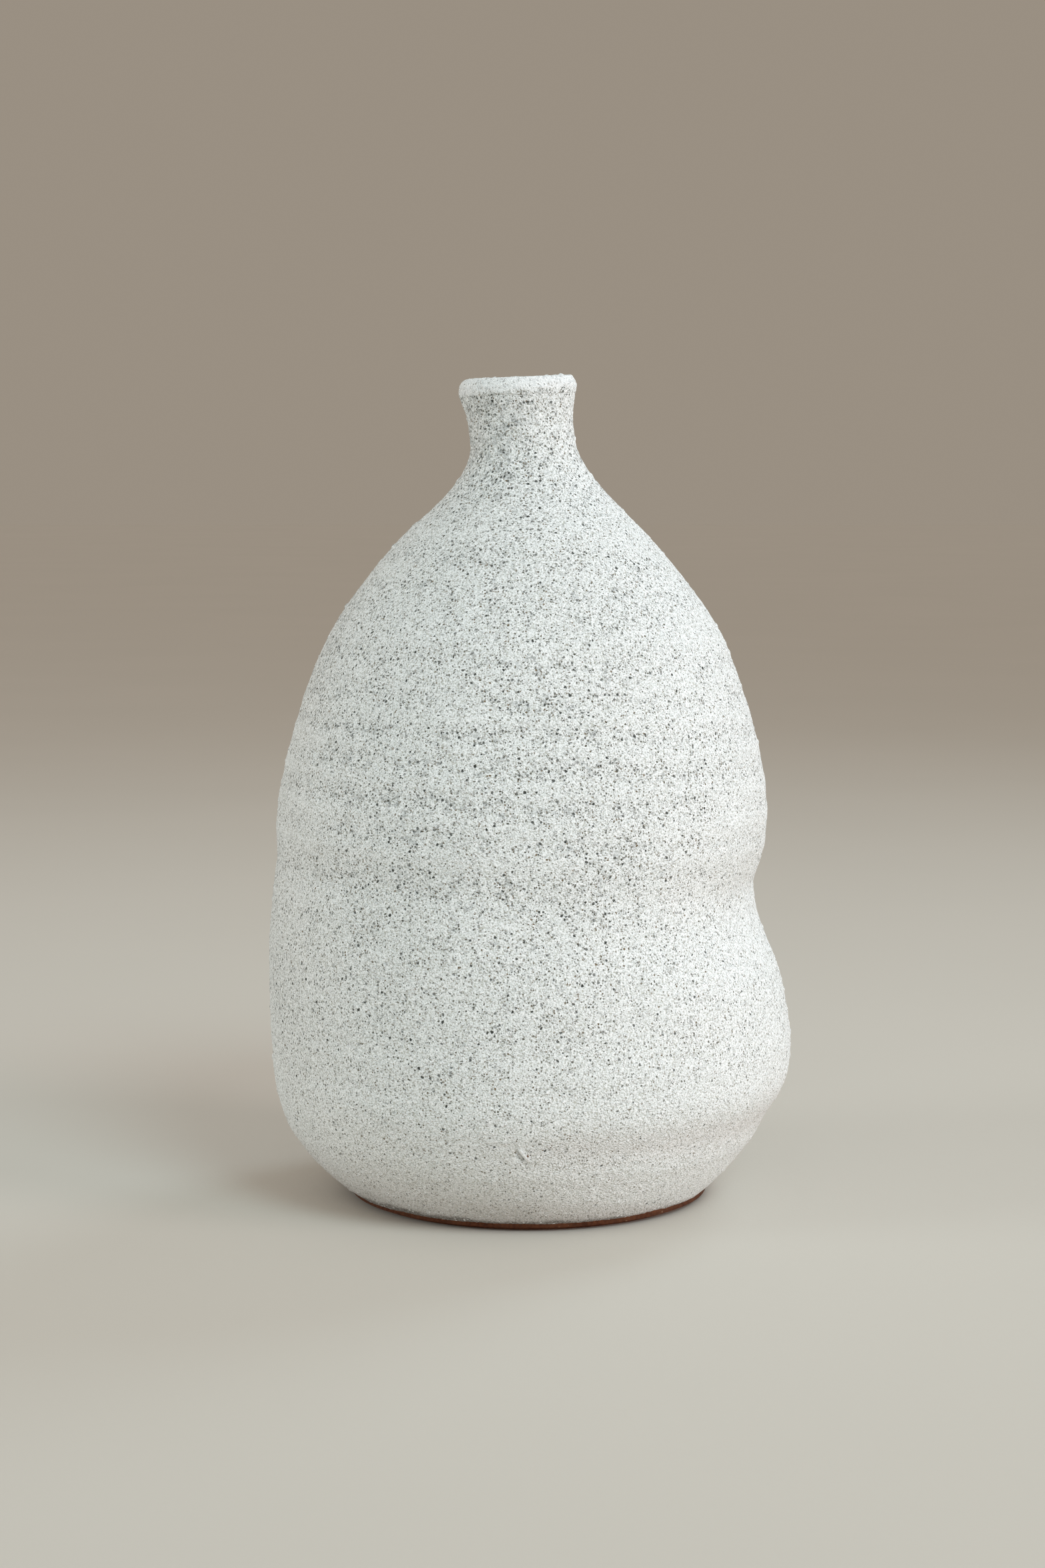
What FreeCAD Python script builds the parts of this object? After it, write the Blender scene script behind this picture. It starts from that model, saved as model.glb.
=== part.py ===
# Stoneware bottle vase, built up from thrown clay sections, slip and glaze.
# Millimetres. +Z is up, +X is to the viewer's right, and the origin is the centre of
# the foot on the table. The body is lopsided: its left and right sides differ.

import FreeCAD
import Part
import math
import os

# ---- Driving dimensions ----

# The glazed outside as level rings: height, reach to the left, reach to the right.
BODY_RINGS = [
    (-4.0, 54.5, 54.5),
    (2.0, 65.0, 64.5),
    (10.0, 75.5, 73.0),
    (20.0, 84.5, 81.0),
    (31.0, 90.8, 88.4),
    (43.0, 93.9, 94.6),
    (57.0, 94.8, 96.8),
    (75.0, 95.8, 95.2),
    (95.0, 95.6, 93.0),
    (116.0, 93.8, 91.0),
    (136.0, 92.8, 88.9),
    (154.0, 90.6, 86.7),
    (172.0, 86.1, 83.0),
    (190.0, 80.3, 77.5),
    (208.0, 72.4, 70.0),
    (225.0, 60.9, 58.6),
    (241.0, 47.6, 45.3),
    (254.0, 33.7, 32.4),
    (264.0, 25.0, 23.1),
    (273.0, 21.5, 17.9),
    (281.0, 21.6, 16.3),
    (289.0, 23.4, 16.2),
    (294.0, 25.0, 16.9),
    (297.2, 25.0, 17.0),
    (299.2, 24.0, 16.0),
    (299.9, 22.2, 14.4),
]
RING_POINTS = 32

# The waist: a broad dent pressed into the right-hand side of the body.
DENT_DEPTH = 9.3
DENT_HEIGHT = 109.0
DENT_HALF_HEIGHT = 14.5
DENT_ANGLE = -20.0
DENT_HALF_ANGLE = 34.0

# The crease between the two lobes runs right round the body and falls to the right.
CREASE_HEIGHT = 121.3
CREASE_FALL = 0.053
CREASE_DEPTH = 0.7
CREASE_HALF_HEIGHT = 5.0

# The neck is set a little crooked, so the rings above the shoulder tip up to the right.
LIP_SLOPE = 0.045
LIP_CENTRE_X = -4.0
TIP_START = 240.0
TIP_END = 290.0

# Thicknesses of the coats and of the clay, and the height of the clay floor's top.
OUTER_GLAZE = 0.9
LINER_GLAZE = 0.5
CLAY_WALL = 5.2
FLOOR_TOP = 9.5

# The throat is a true bore inside the liner, reached from the body over a small ledge.
# The hollow in the body follows the outside up to BODY_HOLLOW_TOP.
BODY_HOLLOW_TOP = 265.0
THROAT_RADIUS = 12.0
THROAT_CENTRE_X = -3.2
THROAT_BOTTOM = 268.0
THROAT_LEDGE = 0.6
LEDGE_HEIGHT = 271.0
FLARE_BOTTOM = 298.2

# Foot: a turned ring of bare clay with a tongue that sits in a groove under the floor.
GLAZE_LINE = 1.5
FOOT_OUTER = 62.8
FOOT_INNER = 53.0
FOOT_CHAMFER = 0.6
TONGUE_OUTER = 60.0
TONGUE_INNER = 56.0
TONGUE_HEIGHT = 2.0

# Joins between the clay sections are bevelled, higher on the inside, and filled with slip.
# Each is given by its height and radius at the middle of the wall, and its fall to the right.
SLIP = 0.4
JOIN_SLOPE = 0.3
BASE_JOIN = (11.0, 74.0, 0.0)
CREASE_JOIN = (122.0, 88.5, CREASE_FALL)
COLLAR_JOIN = (262.0, 22.0, 0.0)
LIP_JOIN = (291.0, 16.5, 0.0)
RIM_GLAZE_LINE = 294.5

# Reach of the cutting solids: past the widest part sideways, and past the lip upwards.
FAR = 160.0
TOP = 320.0


# ---- Outside shape ----

def bell(distance, half_width):
    return math.exp(-0.5 * (distance / half_width) ** 2)


def angle_between(degrees_a, degrees_b):
    return (degrees_a - degrees_b + 180.0) % 360.0 - 180.0


def tip(height):
    """Slope of a ring at this height: level on the body, LIP_SLOPE at the lip."""
    share = (height - TIP_START) / (TIP_END - TIP_START)
    share = min(max(share, 0.0), 1.0)
    return LIP_SLOPE * share * share * (3.0 - 2.0 * share)


def reach(ring, degrees):
    """Distance of the glazed outside from the axis, in the ring's own direction."""
    height, left, right = ring
    cosine = math.cos(math.radians(degrees))
    across = (left + right) / 2.0 + (right - left) / 2.0 * cosine
    dent = bell(height - DENT_HEIGHT, DENT_HALF_HEIGHT)
    dent *= bell(angle_between(degrees, DENT_ANGLE), DENT_HALF_ANGLE)
    crease = bell(height + CREASE_FALL * across * cosine - CREASE_HEIGHT, CREASE_HALF_HEIGHT)
    return across - DENT_DEPTH * dent - CREASE_DEPTH * crease


def outline_rings():
    """The body rings, with extra ones halfway where the dent and crease need them."""
    rings = []
    for low, high in zip(BODY_RINGS, BODY_RINGS[1:]):
        rings.append(low)
        middle = tuple((a + b) / 2.0 for a, b in zip(low, high))
        if abs(middle[0] - DENT_HEIGHT) < 2.0 * DENT_HALF_HEIGHT:
            rings.append(middle)
    rings.append(BODY_RINGS[-1])
    return rings


def ring_slope(rings, index):
    """Unit vector along the outline at a ring, as (outward, upward)."""
    below = rings[max(index - 1, 0)]
    above = rings[min(index + 1, len(rings) - 1)]
    outward = (above[1] + above[2] - below[1] - below[2]) / 2.0
    upward = above[0] - below[0]
    length = math.hypot(outward, upward)
    return outward / length, upward / length


def moved_in_ring(rings, index, inset):
    """Points round a ring moved in from the glazed outside by inset."""
    outward, upward = ring_slope(rings, index)
    height = rings[index][0] + inset * outward
    points = []
    for degrees in ring_angles():
        radius = reach(rings[index], degrees) - inset * upward
        x = radius * math.cos(math.radians(degrees))
        y = radius * math.sin(math.radians(degrees))
        points.append(FreeCAD.Vector(x, y, height + tip(rings[index][0]) * (x - LIP_CENTRE_X)))
    return points


def ring_wire(points):
    """A closed smooth curve through the points, all rings sharing the same even knots."""
    knots = [float(step) for step in range(len(points) + 1)]
    curve = Part.BSplineCurve()
    curve.interpolate(Points=points, Parameters=knots, PeriodicFlag=True)
    return Part.Wire(curve.toShape())


def ring_angles():
    return [360.0 * step / RING_POINTS for step in range(RING_POINTS)]


def vessel(inset):
    """The outside form as one solid, moved in by inset, from the glaze line to the lip."""
    rings = outline_rings()
    wires = []
    for index in range(len(rings)):
        wires.append(ring_wire(moved_in_ring(rings, index, inset)))
    form = Part.makeLoft(wires, True, False)
    return form.common(block(GLAZE_LINE, TOP))


# ---- Hollow ----

def throat_ring(radius, height):
    points = []
    for degrees in ring_angles():
        x = THROAT_CENTRE_X + radius * math.cos(math.radians(degrees))
        y = radius * math.sin(math.radians(degrees))
        points.append(FreeCAD.Vector(x, y, height))
    return ring_wire(points)


def hollow(lining):
    """The space inside the clay, less a lining of this thickness, open at the mouth."""
    inset = OUTER_GLAZE + CLAY_WALL + lining
    rings = outline_rings()
    wires = []
    for index, ring in enumerate(rings):
        height = ring[0]
        if height < GLAZE_LINE or height > BODY_HOLLOW_TOP:
            continue
        wires.append(ring_wire(moved_in_ring(rings, index, inset)))
    radius = THROAT_RADIUS + LINER_GLAZE - lining
    wires.append(throat_ring(radius + THROAT_LEDGE, LEDGE_HEIGHT - lining))
    body = Part.makeLoft(wires, True, False).common(block(FLOOR_TOP + lining, TOP))
    throat = cylinder(radius, THROAT_BOTTOM, TOP, THROAT_CENTRE_X)
    flare_centre = FreeCAD.Vector(THROAT_CENTRE_X, 0.0, FLARE_BOTTOM)
    flare_height = TOP - FLARE_BOTTOM
    flare = Part.makeCone(radius, radius + flare_height, flare_height, flare_centre)
    return body.fuse([throat, flare]).removeSplitter()


# ---- Simple solids ----

def block(low, high):
    size = 2.0 * FAR
    return Part.makeBox(size, size, high - low, FreeCAD.Vector(-FAR, -FAR, low))


def cylinder(radius, low, high, centre_x=0.0):
    return Part.makeCylinder(radius, high - low, FreeCAD.Vector(centre_x, 0.0, low))


def tube(inner, outer, low, high):
    return cylinder(outer, low, high).cut(cylinder(inner, low, high))


def turned(outline):
    """A solid turned about the Z axis from a closed outline of (radius, height)."""
    points = [FreeCAD.Vector(radius, 0.0, height) for radius, height in outline]
    face = Part.Face(Part.makePolygon(points + points[:1]))
    return face.revolve(FreeCAD.Vector(0, 0, 0), FreeCAD.Vector(0, 0, 1), 360.0)


def under_join(join, lift=0.0):
    """Everything below a bevelled join, which falls outwards at JOIN_SLOPE."""
    height, radius, fall = join
    apex = height + lift + JOIN_SLOPE * radius
    below = turned([(0.0, -FAR), (FAR, -FAR), (FAR, apex - JOIN_SLOPE * FAR), (0.0, apex)])
    below.rotate(FreeCAD.Vector(0, 0, height), FreeCAD.Vector(0, 1, 0), math.degrees(math.atan(fall)))
    return below


def under_tipped(height):
    """Everything below a plane at this height that tips with the lip."""
    base = block(-TOP, 0.0)
    lean = math.degrees(math.atan(LIP_SLOPE))
    base.rotate(FreeCAD.Vector(0, 0, 0), FreeCAD.Vector(0, 1, 0), -lean)
    base.translate(FreeCAD.Vector(LIP_CENTRE_X, 0, height))
    return base


# ---- Pieces ----

def foot_ring():
    rim = turned([
        (FOOT_INNER, FOOT_CHAMFER),
        (FOOT_INNER + FOOT_CHAMFER, 0.0),
        (FOOT_OUTER - FOOT_CHAMFER, 0.0),
        (FOOT_OUTER, FOOT_CHAMFER),
        (FOOT_OUTER, GLAZE_LINE),
        (FOOT_INNER, GLAZE_LINE),
    ])
    return rim.fuse(foot_tongue()).removeSplitter()


def foot_tongue():
    return tube(TONGUE_INNER, TONGUE_OUTER, GLAZE_LINE, GLAZE_LINE + TONGUE_HEIGHT)


def foot_groove():
    top = GLAZE_LINE + TONGUE_HEIGHT + SLIP
    return tube(TONGUE_INNER, TONGUE_OUTER, GLAZE_LINE, top)


def clay_sections(clay):
    """The clay cut at its joins: named sections, and the slip that fills each join."""
    joins = [BASE_JOIN, CREASE_JOIN, COLLAR_JOIN, LIP_JOIN]
    names = ["base_slab", "lower_wall", "upper_wall", "neck_collar", "lip_coil"]
    sections = {}
    slip = []
    rest = clay
    for name, join in zip(names, joins):
        sections[name] = rest.common(under_join(join))
        above = rest.cut(under_join(join))
        slip.append(above.common(under_join(join, SLIP)))
        rest = above.cut(under_join(join, SLIP))
    sections[names[-1]] = rest
    return sections, slip


def glaze_coats(clay, hollow_in_clay):
    """The outer coat, the liner, and the coat that covers the lip and joins them."""
    outside = vessel(0.0)
    inside = hollow(LINER_GLAZE)
    below = under_tipped(RIM_GLAZE_LINE)
    return {
        "outer_glaze": outside.cut(vessel(OUTER_GLAZE)).common(below),
        "liner_glaze": hollow_in_clay.cut(inside).common(below),
        "rim_glaze": outside.cut(inside).cut(below).cut(clay.cut(below)),
    }


def build():
    hollow_in_clay = hollow(0.0)
    clay = vessel(OUTER_GLAZE).cut(hollow_in_clay)
    pieces, slip = clay_sections(clay)
    pieces["base_slab"] = pieces["base_slab"].cut(foot_groove())
    slip.append(foot_groove().cut(foot_tongue()))
    pieces["foot_ring"] = foot_ring()
    pieces["luting_slip"] = Part.makeCompound(slip)
    pieces.update(glaze_coats(clay, hollow_in_clay))
    return pieces


def main():
    os.makedirs("parts", exist_ok=True)
    for name, shape in build().items():
        box = shape.optimalBoundingBox(True, False)
        lows = [round(value, 2) for value in (box.XMin, box.YMin, box.ZMin)]
        highs = [round(value, 2) for value in (box.XMax, box.YMax, box.ZMax)]
        print(name, len(shape.Solids), "solids", shape.isValid(), lows, highs)
        Part.makeCompound(shape.Solids).exportStep("parts/" + name + ".step")


main()
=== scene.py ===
import math

import bpy
import numpy as np
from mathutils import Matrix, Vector
from mathutils.bvhtree import BVHTree


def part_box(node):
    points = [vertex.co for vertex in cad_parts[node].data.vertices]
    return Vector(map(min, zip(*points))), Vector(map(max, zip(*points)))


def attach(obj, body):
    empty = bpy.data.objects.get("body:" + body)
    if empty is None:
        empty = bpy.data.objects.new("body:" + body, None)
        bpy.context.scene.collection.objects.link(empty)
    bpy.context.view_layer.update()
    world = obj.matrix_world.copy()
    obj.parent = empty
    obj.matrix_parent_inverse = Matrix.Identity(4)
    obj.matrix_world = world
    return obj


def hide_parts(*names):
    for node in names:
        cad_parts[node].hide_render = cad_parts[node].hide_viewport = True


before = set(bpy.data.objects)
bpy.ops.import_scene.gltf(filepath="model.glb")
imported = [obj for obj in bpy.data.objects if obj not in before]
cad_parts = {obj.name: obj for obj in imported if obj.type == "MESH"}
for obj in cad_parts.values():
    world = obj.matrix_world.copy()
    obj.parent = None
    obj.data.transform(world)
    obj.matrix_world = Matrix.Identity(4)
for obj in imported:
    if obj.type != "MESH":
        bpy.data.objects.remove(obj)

# The looks of a stoneware bottle vase. All lengths are in metres, in the frame of the CAD.
# The glaze over the outside and the glaze over the lip are new meshes laid on the CAD surface,
# with throwing rings, lumps and grain in their geometry. The foot ring and the floor slab are
# turned anew, with their tool marks. The other pieces keep the CAD mesh and get a material.

MM = 0.001
SEED = 7

# ---- Fineness of the new meshes ----

COLUMNS = 720
OUTER_ROWS = 440
RIM_ROWS = 60
FOOT_COLUMNS = 360
SAMPLED_COLUMNS = 72
SAMPLED_ROWS = 84
RIM_STRAIGHT_ROWS = 9
RIM_TURNING_ROWS = 17
SLAB_RINGS = 160
# The unseen back of a skin has one row and one column for this many of the front's.
HIDDEN_SHARE = 6
# Rays start or stop this far clear of the edge of a CAD surface.
CLEARANCE = 0.02 * MM

# ---- Layout of the vase ----

OUTER_THICKNESS = 0.9 * MM
TIP_START = 240.0 * MM
TIP_END = 290.0 * MM

# The glaze over the lip: how far it overlaps the coats beside it and how that varies round
# the lip, the rise of its edge and the share of its rows that the edge takes.
RIM_OVERLAP = 0.9 * MM
OVERLAP_WAVES = [(0.6, 0.35, 31), (0.3, 0.16, 32)]
RIM_STEP = 0.14 * MM
RIM_STEP_SHARE = 0.06
# The radius that its rows turn round, how far out rays start, and how far down the bore is felt.
RIM_TURNING = 2.6 * MM
RIM_RAY = 7.5 * MM
RIM_PROBE = 8.0 * MM

# The white band, free of pits: its lower edge, how far that rises to the right, the waves of
# the edge (height, cell, seed), how soft it is, and the share of the band that fades at the right.
BAND_EDGE = 294.2 * MM
BAND_RISE = 1.1 * MM
BAND_RISING = (-18.0 * MM, 0.0)
BAND_WAVES = [(0.7 * MM, 5.0 * MM, 43), (0.5 * MM, 1.7 * MM, 44)]
BAND_SOFT = (-0.4 * MM, 0.6 * MM)
BAND_FADE = 0.35
BAND_FADING = (4.0 * MM, 16.0 * MM)

# ---- Throwing rings and the crease between the two lobes ----

# The rings fall to the right by RING_FALL, or by LEVEL_SHARE of that below RINGS_LEVEL. They
# begin and fade between two heights each, and lose RINGS_LOST of their height in fading.
RING_FALL = 0.04
RING_PITCH = 12.2 * MM
RING_PHASE = 133.6 * MM
RING_STRETCH = 130.0 * MM
RINGS_START = (122.0 * MM, 132.0 * MM)
RINGS_FADE = (180.0 * MM, 215.0 * MM)
RINGS_TO_RIGHT = (-45.0 * MM, 55.0 * MM)
RINGS_LEVEL = (45.0 * MM, 110.0 * MM)
LEVEL_SHARE = 0.2
RINGS_LOST = 0.7
# One full ridge, how far ridges wander in pitches, how uneven they are, and finer ones on them.
RIDGE_HEIGHT = 0.12 * MM
RIDGE_WANDER = 0.12
UNEVEN_RIDGES = 0.5
UNEVEN_CELL = 20.0 * MM
FINE_RIDGES = 0.45
FINE_CELL = 3.0 * MM
# Ridges and hollows that stand alone: height, half height, size in full ridges, and
# how much of that size is kept on the left-hand side.
SINGLE_RIDGES = [
    (15.0 * MM, 2.5 * MM, 1.0, 1.0),
    (23.5 * MM, 3.5 * MM, 3.2, 0.4),
    (34.0 * MM, 4.0 * MM, -4.8, 0.2),
    (46.0 * MM, 4.5 * MM, 2.8, 0.4),
    (61.0 * MM, 4.5 * MM, 1.2, 1.4),
    (70.0 * MM, 4.0 * MM, -0.8, 1.4),
    (245.0 * MM, 4.0 * MM, 1.4, 1.0),
    (271.5 * MM, 3.0 * MM, -1.4, 1.0),
    (286.0 * MM, 3.0 * MM, -1.0, 1.0),
]
CREASE_HEIGHT = 121.3 * MM
CREASE_FALL = 0.053
CREASE_HALF_HEIGHT = 2.8 * MM
CREASE_DEPTH = 0.3 * MM

# A nick in the glaze low on the front: place, long and short half widths, lean, depth, the
# height of the burr beside it as a share of that, and the size of the dot at its end.
NICK_X = -1.7 * MM
NICK_HEIGHT = 33.0 * MM
NICK_LONG = 3.4 * MM
NICK_SHORT = 1.0 * MM
NICK_LEAN = 54.0
NICK_DEPTH = 0.65 * MM
NICK_BURR = 0.8
NICK_DOT = 0.5 * MM

# The lower lobe swells a little toward the front, below the crease.
SWELL_HEIGHT = 91.0 * MM
SWELL_HALF_HEIGHT = 9.0 * MM
SWELL_ANGLE = -62.0
SWELL_HALF_ANGLE = 20.0
SWELL = 1.2 * MM

# Lumps and grain of the glaze: height of the field, its cell and its seed. Then the peaks of one more
# field, which stand up as nodules, and where the small raised grains are painted white as highlights.
ROUGHNESS = [
    (0.25 * MM, 24.0 * MM, 11),
    (0.10 * MM, 8.0 * MM, 12),
    (0.08 * MM, 3.2 * MM, 13),
    (0.11 * MM, 1.8 * MM, 14),
]
NODULE_HEIGHT = 0.8 * MM
NODULE_CELL = 2.3 * MM
NODULE_START = 0.42
RAISED_HIGHLIGHTS_ABOVE = 0.3
RAISED_HIGHLIGHT_PART = (15.0 * MM, 80.0 * MM)

# ---- Where the glaze is pitted, from 0 for clean to 1 for very dark ----

# Places between which a part of the vase begins: heights, then distances to one side.
UPPER_LOBE = (105.0 * MM, 140.0 * MM)
LOW_PART = (15.0 * MM, 100.0 * MM)
PATCHY_FROM = (60.0 * MM, 120.0 * MM)
NECK_FROM = (246.0 * MM, 276.0 * MM)
LEFT_SIDE = (-10.0 * MM, 45.0 * MM)
RIGHT_SIDE = (25.0 * MM, 75.0 * MM)
LEFT_EDGE = (40.0 * MM, 80.0 * MM)
NECK_LEFT = (-10.0 * MM, 12.0 * MM)
# The amount all over, and what each part adds to it.
PITS = 0.46
PITS_UPPER = 0.08
PITS_LEFT = 0.06
PITS_LOW = -0.24
PITS_RIGHT = -0.06
PITS_UPPER_RIGHT = -0.10
PITS_NECK = -0.06
PITS_NECK_LEFT = 0.50
# In the hollows of the throwing rings, more so in the upper lobe and at its left edge.
RING_PITS = 0.02
RING_PITS_UPPER = 0.10
RING_PITS_EDGE = 0.10
CREASE_PITS = 0.04
CREASE_PITS_LEFT = 0.16
# Random patches: share, cell and seed, and a last set that runs along the rings.
PIT_PATCHES = [(0.10, 40.0 * MM, 21), (0.14, 9.0 * MM, 22)]
PIT_STREAKS = (0.10, 7.0 * MM, 23)
# A nearly clean stretch at the left edge, just above the crease.
CLEAN_EDGE = -0.24
CLEAN_EDGE_HEIGHT = 152.0 * MM
CLEAN_EDGE_HALF_HEIGHT = 22.0 * MM

# ---- Foot ----

# The thin glaze above the foot, then the warmth of the clay under it with painted shade, most of it at the
# left, and a band of painted shade along a low hollow, stronger to the right.
THIN_TOP = 4.4 * MM
THIN_FALL = 0.018
THIN_WAVE = 1.0 * MM
THIN_SOFT = 1.0 * MM
WARM_SHADE_BOTTOM = 1.0 * MM
WARM_SHADE_TOP = 21.0 * MM
WARM_SHADE_FALL = 0.24
WARM_SHADE_RIGHT_END = 60.0 * MM
# Painted shade along a low hollow of the rings: its strength, height, half height, and where it grows to
# the right.
HOLLOW_SHADE = 0.45
HOLLOW_SHADE_HEIGHT = 34.0 * MM
HOLLOW_SHADE_HALF_HEIGHT = 4.5 * MM
HOLLOW_SHADE_TO_RIGHT = (-50.0 * MM, 50.0 * MM)
FOOT_TOP = 1.5 * MM
FOOT_CHAMFER = 0.6 * MM
FOOT_GROOVE_HEIGHT = 0.95 * MM
FOOT_GROOVE_DEPTH = 0.15 * MM
FOOT_GROOVE_HALF_HEIGHT = 0.12 * MM
FOOT_WOBBLE = 0.06 * MM
SLAB_REACH = 66.0 * MM
SLAB_THICKNESS = 7.8 * MM
SLAB_CENTRE = 0.3 * MM
TRIM_PITCH = 3.1 * MM
TRIM_DEPTH = 0.14 * MM

# ---- Colours, as linear red, green, blue and alpha ----

GLAZE_WHITE = (0.75, 0.775, 0.772, 1.0)
GLAZE_CLOUD = (0.78, 0.80, 0.797, 1.0)
BAND_WHITE = (0.80, 0.815, 0.82, 1.0)
# White of the painted highlights on the raised tops of the fine grain.
FINE_GRAIN_HIGHLIGHT = (0.98, 0.985, 0.98, 1.0)
# White of the painted highlights on the raised grains and on the nick's burr.
HIGHLIGHT_WHITE = (0.99, 0.99, 0.98, 1.0)
# Sand tone in the dips of the fine grain, partly painted shade.
SAND_AND_DIP_SHADE = (0.40, 0.38, 0.30, 1.0)
SMUDGE_GREY = (0.26, 0.28, 0.28, 1.0)
# Warm grey of the clay under thin glaze, also used as painted shade low down.
WARM_SHADE_GREY = (0.51, 0.42, 0.385, 1.0)
OLIVE = (0.105, 0.10, 0.068, 1.0)
TAN = (0.24, 0.165, 0.085, 1.0)
NEAR_BLACK = (0.04, 0.045, 0.038, 1.0)
THIN_GREY = (0.17, 0.15, 0.13, 1.0)
# Painted shadow in the slot beside the nick's burr.
SLOT_SHADOW_GREY = (0.33, 0.31, 0.28, 1.0)
RUST = (0.20, 0.09, 0.05, 1.0)
DARK_CLAY = (0.080, 0.022, 0.008, 1.0)
RED_CLAY = (0.15, 0.046, 0.018, 1.0)
PALE_CLAY = (0.19, 0.075, 0.034, 1.0)
GROG = (0.36, 0.22, 0.14, 1.0)
SLIP_DARK = (0.26, 0.12, 0.06, 1.0)
SLIP_PALE = (0.38, 0.20, 0.11, 1.0)
LINER_DARK = (0.60, 0.60, 0.56, 1.0)
LINER_PALE = (0.70, 0.70, 0.67, 1.0)
LINER_SPOT = (0.25, 0.24, 0.20, 1.0)
FLOOR_DARK = (0.61, 0.565, 0.505, 1.0)
FLOOR_PALE = (0.64, 0.59, 0.53, 1.0)

# ---- Camera and light ----

CAMERA_DISTANCE = 1104.9 * MM
CAMERA_HEIGHT = 269.7 * MM
CAMERA_X = -2.2 * MM
CAMERA_PITCH = 6.1
CAMERA_LENS = 69.25
CAMERA_SENSOR = 36.0
LAMP_DISTANCE = 3.2
LAMP_SIZE = 1.4
LAMP_SPREAD = 60.0
AIM_HEIGHT = 0.15
FLOOR_REACH = 12.0
WORLD_LIGHT = (1.0, 0.92, 0.82, 1.0)
WORLD_SEEN = (0.643, 0.553, 0.450, 1.0)
WORLD_STRENGTH = 0.5
# Soft lamps round the vase: bearing from the camera's side, elevation, watts, colour.
LAMPS = [
    ("key", 65.0, 12.0, 5.9, (1.0, 0.93, 0.95)),
    ("front", 30.0, 40.0, 4.6, (0.66, 0.91, 1.0)),
    ("left", -75.0, 12.0, 3.5, (0.84, 0.96, 1.0)),
    ("back", 140.0, 40.0, 2.6, (0.68, 0.88, 1.0)),
]


# ---- Smooth random fields ----

def corner_gradients(cells, seed):
    """A repeatable direction for each whole-number cell corner."""
    corner = cells.astype(np.int64)
    mixed = corner[..., 0] * 374761393 + corner[..., 1] * 668265263
    mixed = mixed + corner[..., 2] * 1274126177 + seed * 974634777
    mixed = (mixed ^ (mixed >> 13)) * 1103515245
    mixed = mixed ^ (mixed >> 16)
    shifts = (0, 9, 18)
    parts = [((mixed >> shift) & 255) / 127.5 - 1.0 for shift in shifts]
    return np.stack(parts, axis=-1)


def field(points, cell, seed):
    """Gradient noise in about -1 to 1 that changes over lengths of about cell."""
    spot = points / cell + seed * 17.31
    low = np.floor(spot)
    inside = spot - low
    ease = inside ** 3 * (inside * (inside * 6.0 - 15.0) + 10.0)
    total = np.zeros(points.shape[:-1])
    for step in np.ndindex(2, 2, 2):
        step = np.array(step)
        gradient = corner_gradients(low + step, seed + SEED)
        share = np.prod(np.where(step == 1, ease, 1.0 - ease), axis=-1)
        total += share * np.sum(gradient * (inside - step), axis=-1)
    return total * 1.6


def smooth_step(value, start, end):
    """A smooth step from 0 at start to 1 at end."""
    share = np.clip((value - start) / (end - start), 0.0, 1.0)
    return share * share * (3.0 - 2.0 * share)


def bell(distance, half_width):
    """A bell curve, 1 at distance 0."""
    return np.exp(-0.5 * (distance / half_width) ** 2)


# ---- Reading the CAD surface ----

def surface_of(*names):
    """A search tree over the meshes of CAD nodes."""
    points = []
    faces = []
    for name in names:
        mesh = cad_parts[name].data
        first = len(points)
        points.extend(vertex.co.copy() for vertex in mesh.vertices)
        faces.extend([first + index for index in face.vertices] for face in mesh.polygons)
    return BVHTree.FromPolygons(points, faces)


def resample_row(values, count, closed):
    """Catmull-Rom interpolation of the first axis of an array to count entries."""
    size = len(values)
    if closed:
        place = np.arange(count) * size / count
    else:
        place = np.linspace(0.0, size - 1.0, count)
    low = np.minimum(np.floor(place).astype(int), size - 1)
    share = (place - low).reshape((-1,) + (1,) * (values.ndim - 1))

    def entry(index):
        if closed:
            return values[index % size]
        return values[np.clip(index, 0, size - 1)]

    before, start, end, after = (entry(low + step) for step in (-1, 0, 1, 2))
    cubic = 2.0 * start + (end - before) * share
    cubic = cubic + (2.0 * before - 5.0 * start + 4.0 * end - after) * share ** 2
    cubic = cubic + (3.0 * start - before - 3.0 * end + after) * share ** 3
    return cubic / 2.0


def resample(grid, rows, columns):
    """A finer grid through the points of a coarse one."""
    tall = resample_row(grid, rows, False)
    return resample_row(tall.swapaxes(0, 1), columns, True).swapaxes(0, 1)


def grid_normals(grid):
    """Outward unit normals of a grid of points that is closed along its second axis."""
    around = np.roll(grid, -1, axis=1) - np.roll(grid, 1, axis=1)
    along = np.gradient(grid, axis=0)
    normal = np.cross(around, along)
    return normal / np.linalg.norm(normal, axis=-1, keepdims=True)


def cast(tree, start, direction):
    """Where a ray first meets a surface of the CAD."""
    place = tree.ray_cast(Vector(start), Vector(direction))[0]
    if place is None:
        raise RuntimeError("a ray missed the CAD surface")
    return np.array(place)


# ---- The lip's plane, from the CAD's boxes ----

OUTER_LOW, OUTER_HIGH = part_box("outer_glaze")
RIM_LOW, RIM_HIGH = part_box("rim_glaze")
FOOT_LOW, FOOT_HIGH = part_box("foot_ring")
LIP_SLOPE = (OUTER_HIGH.z - RIM_LOW.z) / (RIM_HIGH.x - RIM_LOW.x)
LIP_CENTRE_X = (RIM_LOW.x + RIM_HIGH.x) / 2.0
RIM_EDGE = (OUTER_HIGH.z + RIM_LOW.z) / 2.0
GLAZE_LINE = OUTER_LOW.z


def tip(height):
    """Slope of the ring of wall at this height, level on the body and tipped at the lip."""
    return LIP_SLOPE * smooth_step(height, TIP_START, TIP_END)


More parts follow.
